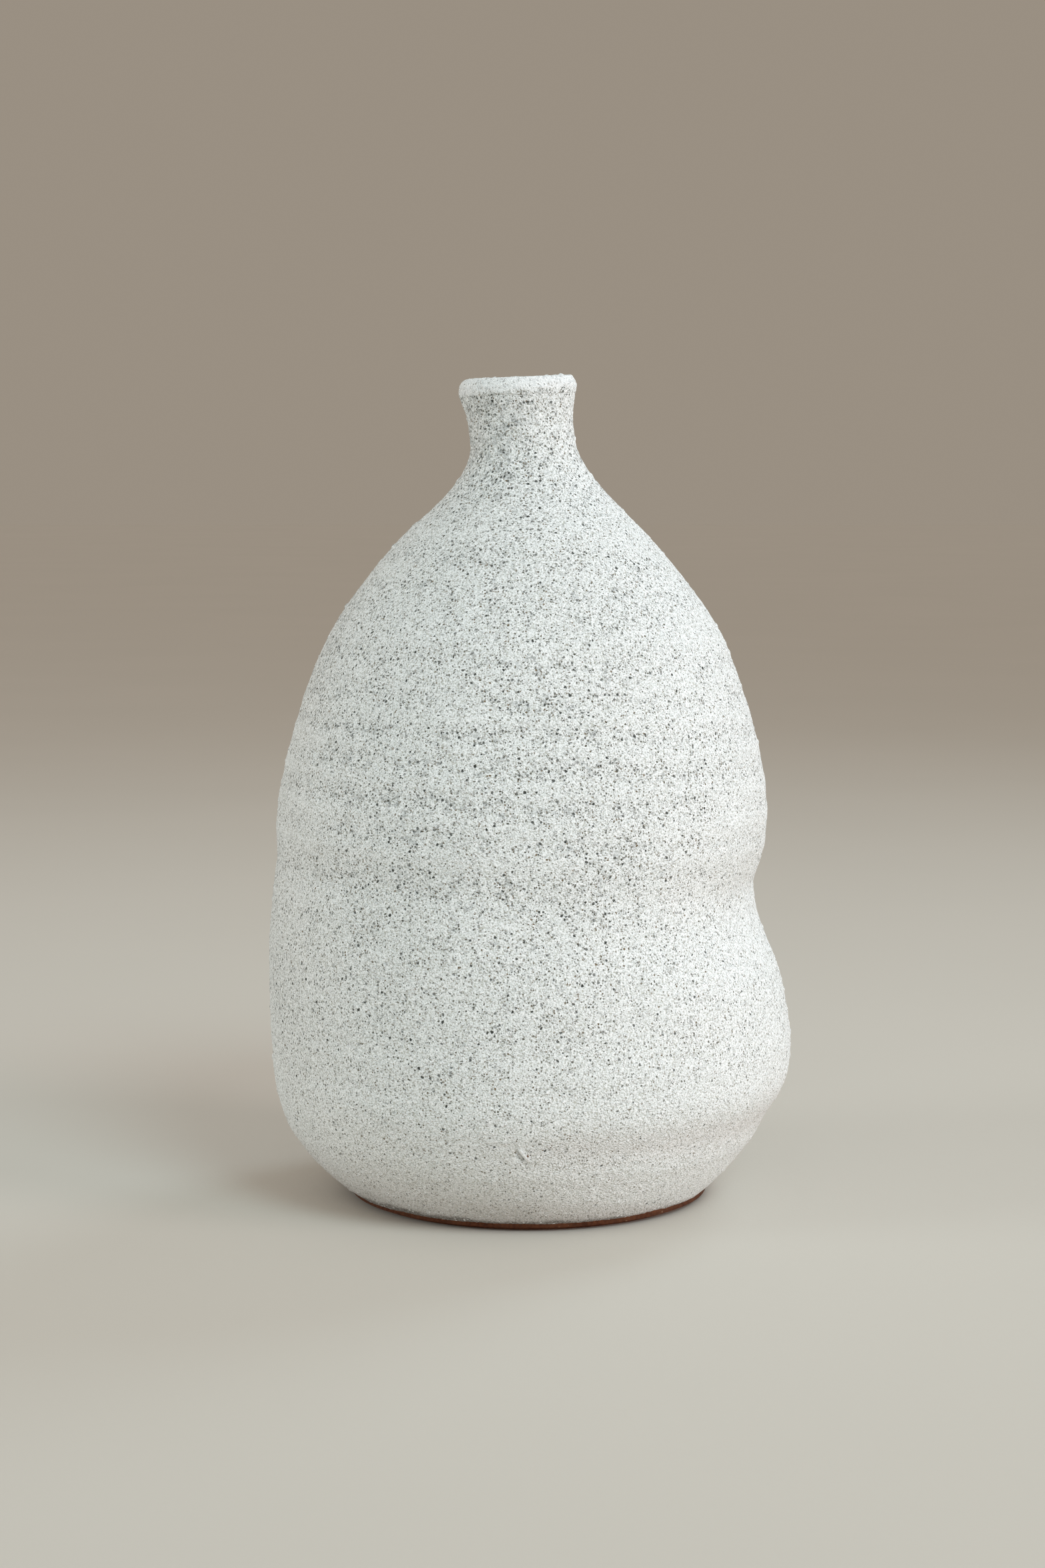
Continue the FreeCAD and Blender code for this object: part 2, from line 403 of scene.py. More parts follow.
def outer_samples():
    """Points of the glazed outside, in rows from the glaze line up to the white rim."""
    tree = surface_of("outer_glaze")
    reach = OUTER_HIGH.x * 2.0

    def ring(height, count):
        points = []
        slope = float(tip(height))
        for angle in np.arange(count) * 2.0 * math.pi / count:
            out = np.array([math.cos(angle), math.sin(angle), slope * math.cos(angle)])
            base = np.array([0.0, 0.0, height - slope * LIP_CENTRE_X])
            points.append(cast(tree, base + out * reach, -out))
        return np.array(points)

    trial = np.linspace(GLAZE_LINE + CLEARANCE, RIM_EDGE - CLEARANCE, 3 * SAMPLED_ROWS)
    spread = np.array([np.hypot(*ring(height, 8)[:, :2].T).mean() for height in trial])
    length = np.concatenate([[0.0], np.cumsum(np.hypot(np.diff(spread), np.diff(trial)))])
    heights = np.interp(np.linspace(0.0, length[-1], SAMPLED_ROWS), length, trial)
    return np.array([ring(height, SAMPLED_COLUMNS) for height in heights])


def rim_samples():
    """Points of the glaze over the lip, in rows from its outer edge over the top and in."""
    tree = surface_of("rim_glaze", "outer_glaze", "liner_glaze")
    inside = cast(tree, (LIP_CENTRE_X, 0.0, RIM_EDGE - RIM_PROBE), (1.0, 0.0, 0.0))[0]
    middle = (RIM_HIGH.y + inside - LIP_CENTRE_X) / 2.0
    straight = np.linspace(1.0, 0.0, RIM_STRAIGHT_ROWS)
    rows = [(share, 0.0) for share in straight]
    rows += [(0.0, angle) for angle in np.linspace(0.0, math.pi, RIM_TURNING_ROWS)[1:-1]]
    rows += [(share, math.pi) for share in straight[::-1]]
    turns = np.arange(SAMPLED_COLUMNS) * 2.0 * math.pi / SAMPLED_COLUMNS
    circle = np.stack([np.cos(turns), np.sin(turns), 0.0 * turns], axis=-1)
    waves = sum(share * field(circle, cell, seed) for share, cell, seed in OVERLAP_WAVES)
    overlap = RIM_OVERLAP * (1.0 + waves)
    grid = []
    for share, angle in rows:
        points = []
        for turn, over in zip(turns, overlap):
            out = np.array([math.cos(turn), math.sin(turn), LIP_SLOPE * math.cos(turn)])
            rise = RIM_TURNING - share * (RIM_TURNING + over)
            base = np.array([LIP_CENTRE_X, 0.0, RIM_EDGE + rise]) + out * middle
            away = out * math.cos(angle) + np.array([0.0, 0.0, 1.0]) * math.sin(angle)
            points.append(cast(tree, base + away * RIM_RAY, -away))
        grid.append(points)
    return np.array(grid)


# ---- Relief of the thrown and glazed surface ----

def ring_place(points):
    """Height counted along the throwing rings, which fall to the right, least so low down."""
    steep = smooth_step(points[..., 2], *RINGS_LEVEL)
    fall = RING_FALL * (LEVEL_SHARE + (1.0 - LEVEL_SHARE) * steep)
    return points[..., 2] + fall * points[..., 0]


def along_rings(points, cell, seed):
    """A random field that changes with height in cells, and very slowly round the vase."""
    place = ring_place(points)
    stretch = cell / RING_STRETCH
    line = np.stack([points[..., 0] * stretch, points[..., 1] * stretch, place], axis=-1)
    return field(line, cell, seed)


def throwing_rings(points):
    """Height of the finger ridges left by throwing, in units of one full ridge."""
    place = ring_place(points)
    wander = RIDGE_WANDER * along_rings(points, 2.5 * RING_PITCH, 3)
    wave = np.cos(2.0 * math.pi * ((place - RING_PHASE) / RING_PITCH + wander))
    strong = smooth_step(place, *RINGS_START) * (1.0 - RINGS_LOST * smooth_step(place, *RINGS_FADE))
    ridges = wave * strong * (1.0 + UNEVEN_RIDGES * along_rings(points, UNEVEN_CELL, 4))
    to_right = smooth_step(points[..., 0], *RINGS_TO_RIGHT)
    for height, half_height, size, left_share in SINGLE_RIDGES:
        share = left_share + (1.0 - left_share) * to_right
        ridges = ridges + size * share * bell(place - height, half_height)
    return ridges + FINE_RIDGES * along_rings(points, FINE_CELL, 6)


def swell(points):
    """How far the lower lobe swells forward."""
    angle = np.degrees(np.arctan2(points[..., 1], points[..., 0])) - SWELL_ANGLE
    angle = (angle + 180.0) % 360.0 - 180.0
    height = points[..., 2] - SWELL_HEIGHT
    return SWELL * bell(angle, SWELL_HALF_ANGLE) * bell(height, SWELL_HALF_HEIGHT)


def crease(points):
    """The crease between the lobes, 1 in its bottom."""
    place = points[..., 2] + CREASE_FALL * points[..., 0]
    return bell(place - CREASE_HEIGHT, CREASE_HALF_HEIGHT)


def nick(points):
    """Depth of the nick low on the front, 1 in its bottom, with a raised burr beside it."""
    lean = math.radians(NICK_LEAN)
    across = points[..., 0] - NICK_X
    up = points[..., 2] - NICK_HEIGHT
    along = across * math.cos(lean) - up * math.sin(lean)
    beside = across * math.sin(lean) + up * math.cos(lean)
    front = points[..., 1] < 0.0
    hollow = bell(along, NICK_LONG / 1.6) * bell(beside + 1.4 * NICK_SHORT, NICK_SHORT / 1.4)
    burr = bell(along, NICK_LONG / 1.6) * bell(beside, NICK_SHORT / 1.6)
    return (hollow - NICK_BURR * burr) * front


def relief(points):
    """How far the glazed surface stands out from the smooth form."""
    rise = RIDGE_HEIGHT * throwing_rings(points) - CREASE_DEPTH * crease(points)
    for height, cell, seed in ROUGHNESS:
        rise = rise + height * field(points, cell, seed)
    nodules = np.clip(field(points, NODULE_CELL, 15) - NODULE_START, 0.0, 1.0)
    return rise + NODULE_HEIGHT * nodules + swell(points) - NICK_DEPTH * nick(points)


def pit_amount(points):
    """How pitted the glaze is, from 0 for clean to 1 for very dark."""
    across, height = points[..., 0], points[..., 2]
    upper = smooth_step(height, *UPPER_LOBE)
    low = 1.0 - smooth_step(height, *LOW_PART)
    left = 1.0 - smooth_step(across, *LEFT_SIDE)
    right = smooth_step(across, *RIGHT_SIDE)
    edge = smooth_step(-across, *LEFT_EDGE)
    neck = smooth_step(height, *NECK_FROM)
    neck_left = smooth_step(-across, *NECK_LEFT)
    amount = PITS + PITS_UPPER * upper + PITS_LEFT * left + PITS_LOW * low
    amount = amount + (PITS_RIGHT + PITS_UPPER_RIGHT * upper) * right
    amount = amount + (PITS_NECK + PITS_NECK_LEFT * neck_left) * neck
    in_hollows = RING_PITS + (RING_PITS_UPPER + RING_PITS_EDGE * edge) * upper
    amount = amount - in_hollows * np.clip(throwing_rings(points), -1.2, 1.2)
    amount = amount + (CREASE_PITS + CREASE_PITS_LEFT * left) * crease(points)
    clean = bell(height - CLEAN_EDGE_HEIGHT, CLEAN_EDGE_HALF_HEIGHT)
    amount = amount + CLEAN_EDGE * edge * clean
    patches = sum(share * field(points, cell, seed) for share, cell, seed in PIT_PATCHES)
    share, cell, seed = PIT_STREAKS
    patches = patches + share * along_rings(points, cell, seed)
    return amount + patches * (0.5 + 0.5 * smooth_step(height, *PATCHY_FROM))


def raised_grain_highlights(points):
    """How strongly the small raised grains are painted white as highlights: most of it low down."""
    low = 1.0 - smooth_step(points[..., 2], *RAISED_HIGHLIGHT_PART)
    return RAISED_HIGHLIGHTS_ABOVE + (1.0 - RAISED_HIGHLIGHTS_ABOVE) * low


def thinness(points):
    """Where the glaze pulls thin just above the foot, 1 at the glaze line."""
    edge = THIN_TOP - THIN_FALL * points[..., 0] + THIN_WAVE * field(points, 6.0 * MM, 41)
    return 1.0 - smooth_step(points[..., 2], edge - THIN_SOFT, edge + THIN_SOFT)


def warmth_and_shade(points):
    """How far the clay warms the glaze low down, where it is thinner, with painted shade on the underside,
    most of it at the left; and a band of painted shade along a low hollow, stronger to the right.
    """
    top = WARM_SHADE_TOP - WARM_SHADE_FALL * np.minimum(points[..., 0], WARM_SHADE_RIGHT_END)
    # A band of painted shade along a low hollow, stronger to the right.
    band = bell(ring_place(points) - HOLLOW_SHADE_HEIGHT, HOLLOW_SHADE_HALF_HEIGHT)
    band = HOLLOW_SHADE * band * smooth_step(points[..., 0], *HOLLOW_SHADE_TO_RIGHT)
    return np.clip(1.0 - smooth_step(points[..., 2], WARM_SHADE_BOTTOM, top) + band, 0.0, 1.0)


def cleanness(points):
    """The thick white band over the lip, 1 where it is free of pits."""
    tipped = points[..., 2] - LIP_SLOPE * (points[..., 0] - LIP_CENTRE_X)
    edge = BAND_EDGE + BAND_RISE * smooth_step(points[..., 0], *BAND_RISING)
    for height, cell, seed in BAND_WAVES:
        edge = edge + height * field(points, cell, seed)
    fade = 1.0 - BAND_FADE * smooth_step(points[..., 0], *BAND_FADING)
    return fade * smooth_step(tipped, edge + BAND_SOFT[0], edge + BAND_SOFT[1])


# ---- Building meshes ----

def grid_faces(first, rows, columns, outward):
    """Quads of a grid of vertices that is closed along its columns."""
    row = np.arange(rows - 1)[:, None] * columns
    here = np.arange(columns)[None, :]
    after = (here + 1) % columns
    corners = [row + here, row + after, row + columns + after, row + columns + here]
    if not outward:
        corners = corners[::-1]
    return first + np.stack(corners, axis=-1).reshape(-1, 4)


def bridge_faces(fine, coarse, outward):
    """Triangles between a fine ring and a coarse ring of vertex numbers."""
    step = len(fine) // len(coarse)
    faces = []
    for index, near in enumerate(coarse):
        far = coarse[(index + 1) % len(coarse)]
        half = step // 2
        for part in range(step):
            start = fine[index * step + part]
            end = fine[(index * step + part + 1) % len(fine)]
            faces.append((start, end, near if part < half else far))
        faces.append((near, fine[index * step + half], far))
    if not outward:
        faces = [face[::-1] for face in faces]
    return faces


def shell(name, outside, thickness):
    """A closed skin: a fine outside grid, and a coarse hidden inside grid behind it."""
    rows, columns = outside.shape[:2]
    behind = outside - grid_normals(outside) * thickness
    keep = np.unique(np.concatenate([np.arange(0, rows, HIDDEN_SHARE), [rows - 1]]))
    behind = behind[keep][:, ::HIDDEN_SHARE]
    points = np.concatenate([outside.reshape(-1, 3), behind.reshape(-1, 3)])
    first = rows * columns
    coarse_columns = behind.shape[1]
    quads = [grid_faces(0, rows, columns, True)]
    quads.append(grid_faces(first, len(keep), coarse_columns, False))
    fine = np.arange(columns)
    coarse = first + np.arange(coarse_columns)
    triangles = bridge_faces(fine, coarse, False)
    last_coarse = coarse + (len(keep) - 1) * coarse_columns
    triangles += bridge_faces(fine + (rows - 1) * columns, last_coarse, True)
    faces = [tuple(face) for face in np.concatenate(quads).tolist()] + triangles
    return new_piece(name, points, faces)


def new_piece(name, points, faces):
    """A smooth-shaded mesh object in the scene."""
    mesh = bpy.data.meshes.new(name)
    mesh.from_pydata(points.tolist(), [], faces)
    mesh.validate()
    mesh.polygons.foreach_set("use_smooth", [True] * len(mesh.polygons))
    piece = bpy.data.objects.new(name, mesh)
    bpy.context.scene.collection.objects.link(piece)
    return piece


def add_measure(piece, name, values):
    """Stores one number per vertex for the materials to read."""
    attribute = piece.data.attributes.new(name, "FLOAT", "POINT")
    attribute.data.foreach_set("value", values.astype(np.float32))


def vertex_points(piece):
    """The places of the vertices of a piece, one row each."""
    flat = np.zeros(len(piece.data.vertices) * 3, np.float32)
    piece.data.vertices.foreach_get("co", flat)
    return flat.reshape(-1, 3).astype(float)


# ---- Pieces ----

def stands_for(piece, node, material):
    """The piece takes the place of a CAD node, with its material in a named slot."""
    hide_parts(node)
    piece.data.materials.append(material)
    return piece


def glaze_coat(name, smooth, rise, measures):
    """A skin of glaze that stands out from a smooth form, with what its material reads."""
    outside = smooth + grid_normals(smooth) * rise[..., None]
    piece = shell(name, outside, OUTER_THICKNESS)
    places = vertex_points(piece)
    for measure, amount in measures.items():
        add_measure(piece, measure, amount(places))
    return piece


def outer_glaze():
    """The rough glaze over the outside, from just above the foot up to the lip."""
    scale = 1
    smooth = resample(outer_samples(), OUTER_ROWS // scale, COLUMNS // scale)
    ends = np.linspace(0.0, 1.0, len(smooth))[:, None]
    rise = relief(smooth) * smooth_step(ends, 0.0, 0.01)
    measures = {
        "pits": pit_amount, "thin": thinness, "warm_and_shade": warmth_and_shade, "clean": cleanness, "raised_grain_highlights": raised_grain_highlights}
    piece = glaze_coat("pitted_outer_glaze", smooth, rise, measures)
    slot = "pitted_white_glaze"
    return stands_for(piece, "outer_glaze", pitted_glaze(slot))


def rim_glaze():
    """The white glaze over the lip, a small step proud of the coats it overlaps."""
    scale = 1
    smooth = resample(rim_samples(), RIM_ROWS, COLUMNS // scale)
    ends = np.linspace(0.0, 1.0, len(smooth))[:, None]
    rounding = np.clip(np.minimum(ends, 1.0 - ends) / RIM_STEP_SHARE, 0.0, 1.0)
    rise = relief(smooth) + RIM_STEP * np.sqrt(rounding)
    measures = {"pits": pit_amount, "clean": cleanness}
    piece = glaze_coat("white_rim_glaze", smooth, rise, measures)
    slot = "smooth_white_glaze"
    return stands_for(piece, "rim_glaze", pitted_glaze(slot))


def lathe(name, outline, columns, wobble, seed):
    """A closed solid of revolution from a closed outline of (radius, height)."""
    radius, height = np.array(outline).T[:, :, None]
    turns = np.arange(columns) * 2.0 * math.pi / columns
    sides = [radius * np.cos(turns), radius * np.sin(turns), height + 0.0 * turns]
    points = np.stack(sides, axis=-1)
    out = points * (1.0, 1.0, 0.0) / np.maximum(radius, MM)[..., None]
    points = points + out * (wobble * field(points, 3.0 * MM, seed))[..., None]
    rows = len(outline)
    faces = grid_faces(0, rows, columns, True).tolist()
    around = np.arange(columns)
    after = (around + 1) % columns
    last = (rows - 1) * columns
    faces += np.stack([last + around, last + after, after, around], axis=-1).tolist()
    return new_piece(name, points.reshape(-1, 3), faces)


def rounded_corner(centre, radius, start, end, steps=6):
    """Points of an arc of an outline, from start to end degrees."""
    angles = np.radians(np.linspace(start, end, steps))
    return [(centre[0] + radius * math.cos(a), centre[1] + radius * math.sin(a)) for a in angles]


def foot_ring():
    """The bare turned foot, with rounded lower edges and a fine groove round the outside."""
    outer = FOOT_HIGH.x
    inner = float(cast(surface_of("foot_ring"), (0.0, 0.0, FOOT_TOP / 2.0), (1.0, 0.0, 0.0))[0])
    soft = FOOT_CHAMFER
    outline = rounded_corner((inner + soft, soft), soft, 180.0, 270.0)
    outline += [(inner + (outer - inner) * share, 0.0) for share in np.linspace(0.1, 0.9, 24)]
    outline += rounded_corner((outer - soft, soft), soft, 270.0, 360.0)
    for height in np.linspace(soft, FOOT_TOP, 9)[1:]:
        groove = FOOT_GROOVE_DEPTH * bell(height - FOOT_GROOVE_HEIGHT, FOOT_GROOVE_HALF_HEIGHT)
        outline.append((outer - groove, height))
    outline += [(outer - soft, FOOT_HIGH.z), (inner + soft, FOOT_HIGH.z), (inner, FOOT_TOP)]
    piece = lathe("turned_foot_ring", outline, FOOT_COLUMNS, FOOT_WOBBLE, 51)
    return stands_for(piece, "foot_ring", bare_clay())


def base_slab():
    """The floor of the vase, with turning marks on its underside inside the foot."""
    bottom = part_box("base_slab")[0].z
    top = bottom + SLAB_THICKNESS
    outline = []
    for radius in np.linspace(SLAB_CENTRE, SLAB_REACH, SLAB_RINGS):
        swirl = TRIM_DEPTH * (math.sin(2.0 * math.pi * radius / TRIM_PITCH) - 1.0)
        outline.append((radius, bottom - swirl * (radius > 2.0 * SLAB_CENTRE)))
    outline += [(SLAB_REACH, top), (SLAB_CENTRE, top)]
    piece = lathe("turned_base_slab", outline, FOOT_COLUMNS, 0.0, 52)
    return stands_for(piece, "base_slab", bare_clay())


# ---- Materials ----

class Nodes:
    """A short way to write a node material."""

    def __init__(self, name):
        self.material = bpy.data.materials.new(name)
        self.material.use_nodes = True
        self.tree = self.material.node_tree
        self.shader = self.tree.nodes["Principled BSDF"]
        self.place = self.add("ShaderNodeTexCoord").outputs["Object"]

    def add(self, kind, inputs=None, **settings):
        node = self.tree.nodes.new(kind)
        for key, value in settings.items():
            setattr(node, key, value)
        for key, value in (inputs or {}).items():
            self.put(node.inputs[key], value)
        return node

    def put(self, socket, value):
        if isinstance(value, bpy.types.NodeSocket):
            self.tree.links.new(value, socket)
        else:
            socket.default_value = value

    def noise(self, size, detail=2.0, roughness=0.5):
        inputs = {"Vector": self.place, "Scale": 1.0 / size, "Detail": detail, "Roughness": roughness}
        return self.add("ShaderNodeTexNoise", inputs).outputs["Fac"]

    def between(self, value, low, high, out_low=0.0, out_high=1.0):
        """A smooth step from out_low to out_high as value goes from low to high."""
        inputs = {"Value": value, "From Min": low, "From Max": high, "To Min": out_low, "To Max": out_high}
        return self.add("ShaderNodeMapRange", inputs, interpolation_type="SMOOTHSTEP").outputs["Result"]

    def math(self, operation, first, second=0.0):
        return self.add("ShaderNodeMath", {0: first, 1: second}, operation=operation).outputs[0]

    def times(self, first, second):
        return self.math("MULTIPLY", first, second)

    def vector_math(self, operation, inputs):
        return self.add("ShaderNodeVectorMath", inputs, operation=operation).outputs[0]

    def mix(self, share, first, second):
        """The first colour, with a share of the second."""
        node = self.add("ShaderNodeMix", data_type="RGBA")
        self.put(node.inputs[0], share)
        self.put(node.inputs[6], first)
        self.put(node.inputs[7], second)
        return node.outputs[2]

    def measure(self, name):
        return self.add("ShaderNodeAttribute", attribute_name=name).outputs["Fac"]

    def jostled(self, size, amount):
        """The place, pushed about by a noise, to give ragged outlines to spots."""
        noise = self.add("ShaderNodeTexNoise", {"Vector": self.place, "Scale": 1.0 / size, "Detail": 1.0})
        centred = self.vector_math("SUBTRACT", {0: noise.outputs["Color"], 1: (0.5, 0.5, 0.5)})
        push = self.vector_math("SCALE", {0: centred, "Scale": 2.0 * amount})
        return self.vector_math("ADD", {0: self.place, 1: push})

    def spots(self, place, cell, small, large, share):
        """Scattered round spots of random size in a share of the cells, and a random tone for each."""
        node = self.add("ShaderNodeTexVoronoi", {"Vector": place, "Scale": 1.0 / cell, "Randomness": 1.0})
        random = self.add("ShaderNodeSeparateColor", {"Color": node.outputs["Color"]})
        radius = self.between(random.outputs["Red"], 0.0, 1.0, small / cell, large / cell)
        shown = self.math("LESS_THAN", random.outputs["Green"], share)
        inner = self.times(radius, 0.55)
        edge = self.times(radius, 1.15)
        soft = self.between(node.outputs["Distance"], edge, inner)
        return self.times(soft, shown), random.outputs["Blue"]

    def slash(self, middle, height, lean, half_long, half_short):
        """A slanting stroke on the front of the vase, 1 along its middle, falling to the right."""
        place = self.add("ShaderNodeSeparateXYZ", {"Vector": self.place})
        across = self.math("SUBTRACT", place.outputs["X"], middle)
        up = self.math("SUBTRACT", place.outputs["Z"], height)
        cosine = math.cos(math.radians(lean))
        sine = math.sin(math.radians(lean))
        along = self.math("SUBTRACT", self.times(across, cosine), self.times(up, sine))
        beside = self.math("ADD", self.times(across, sine), self.times(up, cosine))
        ends = self.between(self.math("ABSOLUTE", along), half_long, 0.6 * half_long)
        sides = self.between(self.math("ABSOLUTE", beside), half_short, 0.2 * half_short)
        front = self.math("LESS_THAN", place.outputs["Y"], 0.0)
        return self.times(self.times(ends, sides), front)

    def bump(self, height, distance):
        inputs = {"Height": height, "Distance": distance, "Strength": 1.0}
        return self.add("ShaderNodeBump", inputs).outputs["Normal"]

    def finish(self, color, roughness, normal, specular):
        self.put(self.shader.inputs["Base Color"], color)
        self.put(self.shader.inputs["Roughness"], roughness)
        self.put(self.shader.inputs["Normal"], normal)
        self.put(self.shader.inputs["Specular IOR Level"], specular)
        return self.material


def pitted_glaze(name):
    """Matte white glaze with olive pits, soft grey smudges, small raised grains painted white as
    highlights, and painted highlight and shade on its fine grain.
    """
    n = Nodes(name)
    clean = n.measure("clean")
    amount = glaze_pitting(n, clean)
    grain = n.noise(0.6 * MM, detail=1.0, roughness=0.6)
    ragged = n.jostled(0.7 * MM, 0.4 * MM)
    color = glaze_ground(n, clean, grain)
    color = glaze_smudges(n, color, amount)
    color, pits = glaze_pits(n, color, ragged, amount)

    thin = n.times(n.measure("thin"), n.between(grain, 0.35, 0.65, 0.95, 0.55))
    color = n.mix(thin, color, THIN_GREY)
    raised, _ = n.spots(ragged, 1.5 * MM, 0.25 * MM, 0.62 * MM, 0.8)
    # Painted highlight: the raised grains are painted white, most of them low down.
    color = n.mix(n.times(raised, n.measure("raised_grain_highlights")), color, HIGHLIGHT_WHITE)
    # The nick adds a painted highlight along its burr and a painted shadow in its slot.
    color, burr, slot = glaze_nick(n, color)

    height = n.math("SUBTRACT", n.math("ADD", n.times(grain, 1.3), raised), pits)
    height = n.math("ADD", height, n.times(n.math("SUBTRACT", burr, slot), 2.0))
    return n.finish(color, 0.72, n.bump(height, 0.32 * MM), 0.35)


def glaze_pitting(n, clean):
    """The mesh's own amount of pitting, broken into clumps and kept out of the clean band."""
    amount = n.measure("pits")
    clumps = n.math("SUBTRACT", n.noise(3.4 * MM, detail=1.0), 0.5)
    clumps = n.times(clumps, n.between(amount, 0.4, 1.0, 0.4, 2.2))
    return n.math("SUBTRACT", n.math("ADD", amount, clumps), n.times(clean, 1.2))


def glaze_ground(n, clean, grain):
    """White with soft clouds, and a fine grain over it: painted highlights of white on its raised tops,
    and sand, partly painted shade, in its dips.
    """
    cloud = n.noise(28.0 * MM, detail=3.0)
    white = n.mix(n.between(cloud, 0.3, 0.7), GLAZE_WHITE, GLAZE_CLOUD)
    white = n.mix(clean, white, BAND_WHITE)
    # Painted highlight on the tops of the fine grain, which the bump raises, and sand with painted shade
    # in its dips.
    color = n.mix(n.between(grain, 0.47, 0.66, 0.0, 0.9), white, FINE_GRAIN_HIGHLIGHT)
    sand_and_dip_shade = n.times(n.between(grain, 0.48, 0.30, 0.0, 0.62), n.between(clean, 0.0, 1.0, 1.0, 0.15))
    return n.mix(sand_and_dip_shade, color, SAND_AND_DIP_SHADE)


def glaze_smudges(n, color, amount):
    """Soft grey smudges, most of them where the glaze is pitted, and warmth from the clay low down, mixed
    with painted shade.
    """
    smudges = n.noise(2.6 * MM, detail=2.0, roughness=0.6)
    rare = n.between(amount, 0.2, 1.0, 0.26, 0.04)
    smudge = n.between(n.math("SUBTRACT", smudges, rare), 0.42, 0.60)
    color = n.mix(n.times(smudge, 0.40), color, SMUDGE_GREY)
    # Warm grey low down: the clay's warmth, with painted shade most at the left and along a low hollow.
    return n.mix(n.times(n.measure("warm_and_shade"), 0.42), color, WARM_SHADE_GREY)


def glaze_pits(n, color, ragged, amount):
    """Small olive or tan pits and larger, darker ones; also returns how deep they are."""
    depth = n.between(amount, 0.0, 0.40, 0.60, 1.0)
    olive = n.mix(n.between(n.noise(2.5 * MM, detail=1.0), 0.46, 0.66), OLIVE, TAN)
    share = n.between(amount, 0.0, 0.9, 0.25, 0.95)
    fine, tone = n.spots(ragged, 0.88 * MM, 0.17 * MM, 0.40 * MM, share)
    fine = n.times(fine, n.times(n.between(tone, 0.0, 1.0, 0.40, 1.0), depth))
    share = n.between(amount, 0.20, 0.9, 0.04, 0.95)
    dark, tone = n.spots(ragged, 1.4 * MM, 0.24 * MM, 0.60 * MM, share)
    dark = n.times(dark, n.times(n.between(tone, 0.0, 1.0, 0.35, 1.0), depth))
    color = n.mix(dark, n.mix(fine, color, olive), NEAR_BLACK)
    return color, n.math("MAXIMUM", fine, dark)


def glaze_nick(n, color):
    """The nick low on the front: its burr painted white as a highlight, a painted shadow in the slot
    beside it, and a rust-red dot.
    """
    slot_shadow_x = NICK_X - 1.5 * NICK_SHORT
    dot_x = NICK_X + 1.3 * MM
    slot = n.slash(slot_shadow_x, NICK_HEIGHT, NICK_LEAN, 0.8 * NICK_LONG, 0.8 * NICK_SHORT)
    burr = n.slash(NICK_X, NICK_HEIGHT, NICK_LEAN, NICK_LONG, 0.9 * NICK_SHORT)
    dot = n.slash(dot_x, NICK_HEIGHT, NICK_LEAN, NICK_DOT, NICK_DOT)
    # Painted shadow at the left of the burr, then the rust dot, then the painted highlight along the burr.
    color = n.mix(n.times(slot, 0.12), color, SLOT_SHADOW_GREY)
    color = n.mix(dot, color, RUST)
    return n.mix(burr, color, HIGHLIGHT_WHITE), burr, slot


def bare_clay():
    """Red-brown fired stoneware, matte and sandy, with pale grog."""
    n = Nodes("bare_stoneware")
    speck = n.noise(1.2 * MM, detail=3.0)
    cloud = n.noise(15.0 * MM, detail=2.0)
    color = n.mix(n.between(speck, 0.35, 0.65), DARK_CLAY, RED_CLAY)
    color = n.mix(n.between(cloud, 0.35, 0.65, 0.0, 0.4), color, PALE_CLAY)
    grog, tone = n.spots(n.jostled(0.6 * MM, 0.3 * MM), 2.2 * MM, 0.15 * MM, 0.5 * MM, 0.6)
    color = n.mix(n.times(grog, tone), color, GROG)
    height = n.math("ADD", speck, n.times(grog, 0.5))
    return n.finish(color, 0.85, n.bump(height, 0.15 * MM), 0.3)


def joining_slip():
    """Slip in the joins between clay sections, a little paler and finer than the clay."""
    n = Nodes("clay_slip")
    speck = n.noise(0.8 * MM, detail=2.0)
    color = n.mix(n.between(speck, 0.35, 0.65), SLIP_DARK, SLIP_PALE)
    return n.finish(color, 0.9, n.bump(speck, 0.1 * MM), 0.25)


def smooth_liner():
    """Satin off-white glaze that lines the inside."""
    n = Nodes("liner_glaze")
    cloud = n.noise(12.0 * MM, detail=3.0)
    color = n.mix(n.between(cloud, 0.3, 0.7), LINER_DARK, LINER_PALE)
    few, tone = n.spots(n.jostled(0.8 * MM, 0.4 * MM), 2.0 * MM, 0.2 * MM, 0.5 * MM, 0.5)
    color = n.mix(n.times(few, tone), color, LINER_SPOT)
    return n.finish(color, 0.35, n.bump(cloud, 0.3 * MM), 0.5)


# ---- Stage ----

def floor():
    """A wide plain floor at the height of the foot."""
    corners = [(across, deep, 0.0) for across, deep in ((-1, -1), (1, -1), (1, 1), (-1, 1))]
    piece = new_piece("floor", np.array(corners) * FLOOR_REACH, [(0, 1, 2, 3)])
    n = Nodes("pale_floor")
    cloud = n.noise(0.3, detail=3.0)
    fibre = n.noise(1.5 * MM, detail=2.0)
    color = n.mix(cloud, FLOOR_DARK, FLOOR_PALE)
    piece.data.materials.append(n.finish(color, 0.9, n.bump(fibre, 0.05 * MM), 0.2))


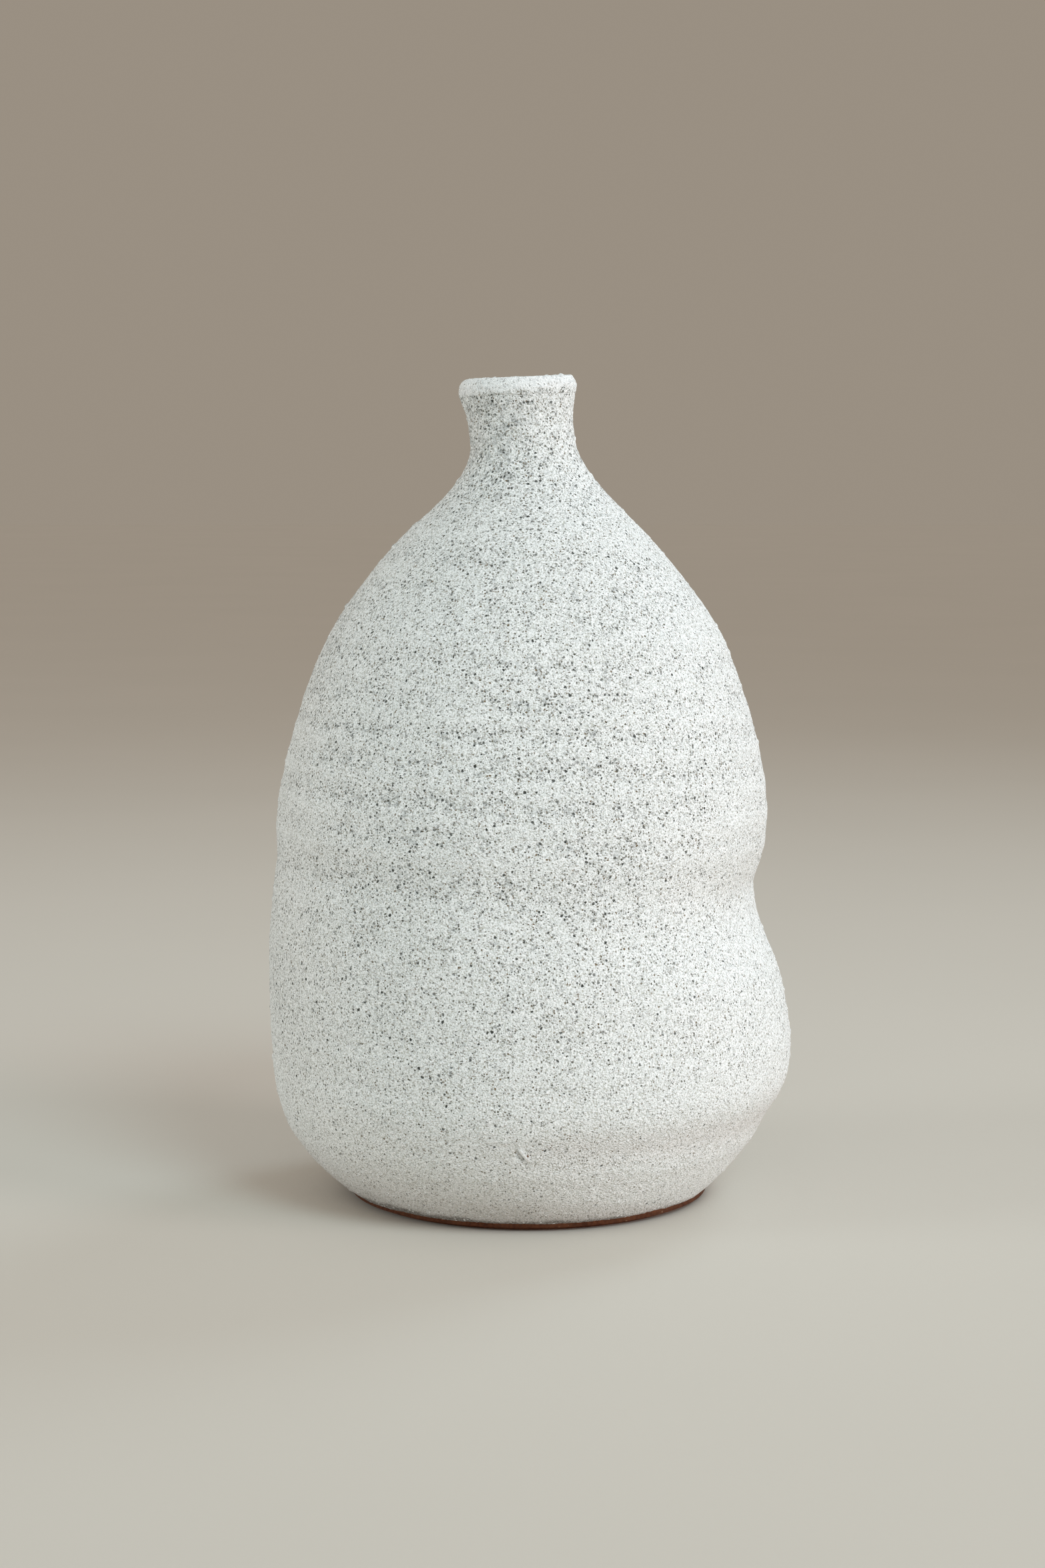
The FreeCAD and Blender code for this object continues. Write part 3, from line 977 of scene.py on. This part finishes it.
def soft_lamp(name, bearing, elevation, power, color):
    """A round soft lamp aimed at the vase; bearing 0 is the camera's side, 90 the right."""
    turn = math.radians(bearing)
    rise = math.radians(elevation)
    aim = Vector((0.0, 0.0, AIM_HEIGHT))
    away = Vector((math.cos(rise) * math.sin(turn), -math.cos(rise) * math.cos(turn), math.sin(rise)))
    data = bpy.data.lights.new(name, "AREA")
    data.shape = "DISK"
    data.size = LAMP_SIZE
    data.energy = power
    data.color = color
    data.spread = math.radians(LAMP_SPREAD)
    light = bpy.data.objects.new(name, data)
    light.location = aim + away * LAMP_DISTANCE
    light.rotation_euler = (-away).to_track_quat("-Z", "Y").to_euler()
    bpy.context.scene.collection.objects.link(light)


def studio():
    """Soft light from all round. The camera sees it in the floor's own tone, so the horizon is faint."""
    world = bpy.data.worlds.new("studio")
    world.use_nodes = True
    tree = world.node_tree
    lighting = tree.nodes["Background"]
    lighting.inputs["Color"].default_value = WORLD_LIGHT
    lighting.inputs["Strength"].default_value = WORLD_STRENGTH
    seen = tree.nodes.new("ShaderNodeBackground")
    seen.inputs["Color"].default_value = WORLD_SEEN
    seen.inputs["Strength"].default_value = WORLD_STRENGTH
    path = tree.nodes.new("ShaderNodeLightPath")
    choice = tree.nodes.new("ShaderNodeMixShader")
    tree.links.new(path.outputs["Is Camera Ray"], choice.inputs[0])
    tree.links.new(lighting.outputs[0], choice.inputs[1])
    tree.links.new(seen.outputs[0], choice.inputs[2])
    tree.links.new(choice.outputs[0], tree.nodes["World Output"].inputs["Surface"])
    bpy.context.scene.world = world
    for lamp in LAMPS:
        soft_lamp(*lamp)


def camera():
    """A long lens at the front, a little above the vase and tilted down to it."""
    data = bpy.data.cameras.new("camera")
    data.lens = CAMERA_LENS
    data.sensor_width = CAMERA_SENSOR
    view = bpy.data.objects.new("camera", data)
    view.location = (CAMERA_X, -CAMERA_DISTANCE, CAMERA_HEIGHT)
    view.rotation_euler = (math.radians(90.0 - CAMERA_PITCH), 0.0, 0.0)
    bpy.context.scene.collection.objects.link(view)
    bpy.context.scene.camera = view


def dress(names, material):
    """Gives one material to CAD nodes that stay as they are."""
    for name in names:
        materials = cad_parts[name].data.materials
        materials.clear()
        materials.append(material)


def main():
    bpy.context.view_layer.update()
    for piece in (outer_glaze(), rim_glaze(), foot_ring(), base_slab()):
        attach(piece, "root")
    dress(["lower_wall", "upper_wall", "neck_collar", "lip_coil"], bare_clay())
    dress(["luting_slip"], joining_slip())
    dress(["liner_glaze"], smooth_liner())
    floor()
    studio()
    camera()
    bpy.context.scene.view_settings.view_transform = "Standard"


main()
